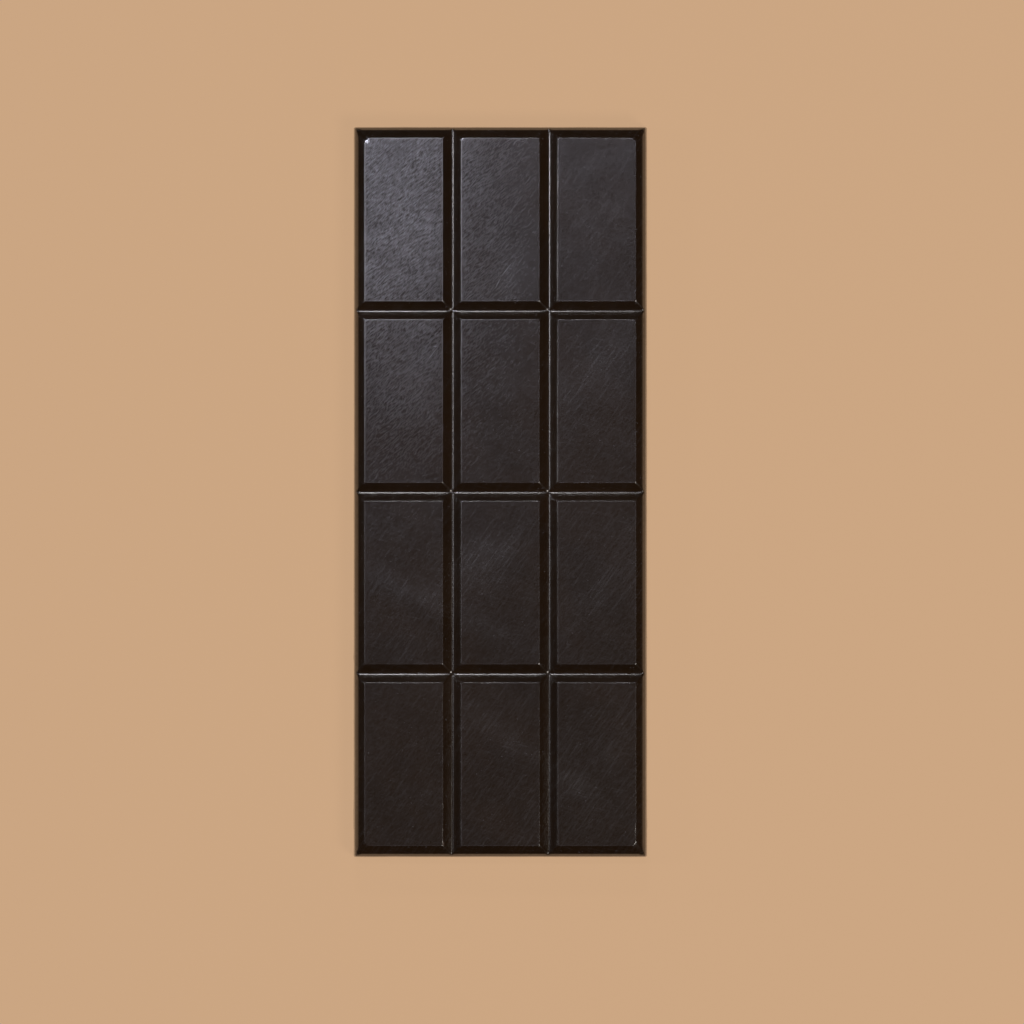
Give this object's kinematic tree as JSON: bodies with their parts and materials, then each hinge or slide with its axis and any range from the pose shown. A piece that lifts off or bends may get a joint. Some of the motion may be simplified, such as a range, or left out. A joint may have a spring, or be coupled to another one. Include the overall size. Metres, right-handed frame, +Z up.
{
  "type": "chocolate bar",
  "caption": "Flat moulded bar of dark chocolate: oblong raised blocks, parted by narrow grooves for breaking, on one plate with a narrow bevelled edge.",
  "frame": {"origin": "middle of the flat back, on the surface that the bar lies on", "axes": "+Z up out of the faces of the blocks, +Y along the bar's length, +X across it"},
  "size_m": [0.0604, 0.15, 0.008],
  "materials": {
    "dark_chocolate": "satin, lightly scuffed, with a soft cool sheen"
  },
  "bodies": {
    "root": {"chocolate_bar": "dark_chocolate"}
  },
  "joints": []
}
